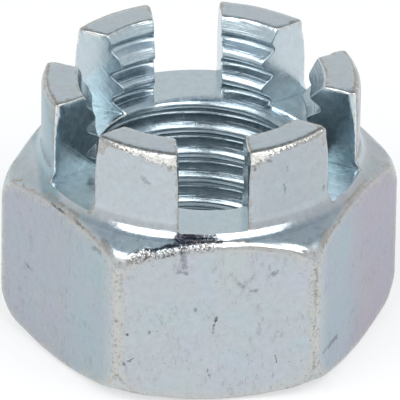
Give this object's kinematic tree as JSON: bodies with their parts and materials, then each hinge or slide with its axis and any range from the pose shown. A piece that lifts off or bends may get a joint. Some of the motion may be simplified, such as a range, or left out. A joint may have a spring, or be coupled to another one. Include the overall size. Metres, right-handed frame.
{
  "type": "castle nut",
  "caption": "Hexagon nut with a slotted crown, threaded through; a cotter pin passed through opposite slots and the bolt locks it.",
  "frame": {"origin": "centre of the bearing face, on the axis of the bore", "axes": "+Z along the bore from the bearing face to the crown; two flats face -Y and +Y, two upright edges lie on -X and +X"},
  "size_m": [0.0276, 0.024, 0.0189],
  "materials": {
    "zinc_plated_steel": "steel with bright blue-white zinc plating, semi-gloss, lightly scratched and pitted"
  },
  "bodies": {
    "root": {"castle_nut": "zinc_plated_steel"}
  },
  "joints": []
}
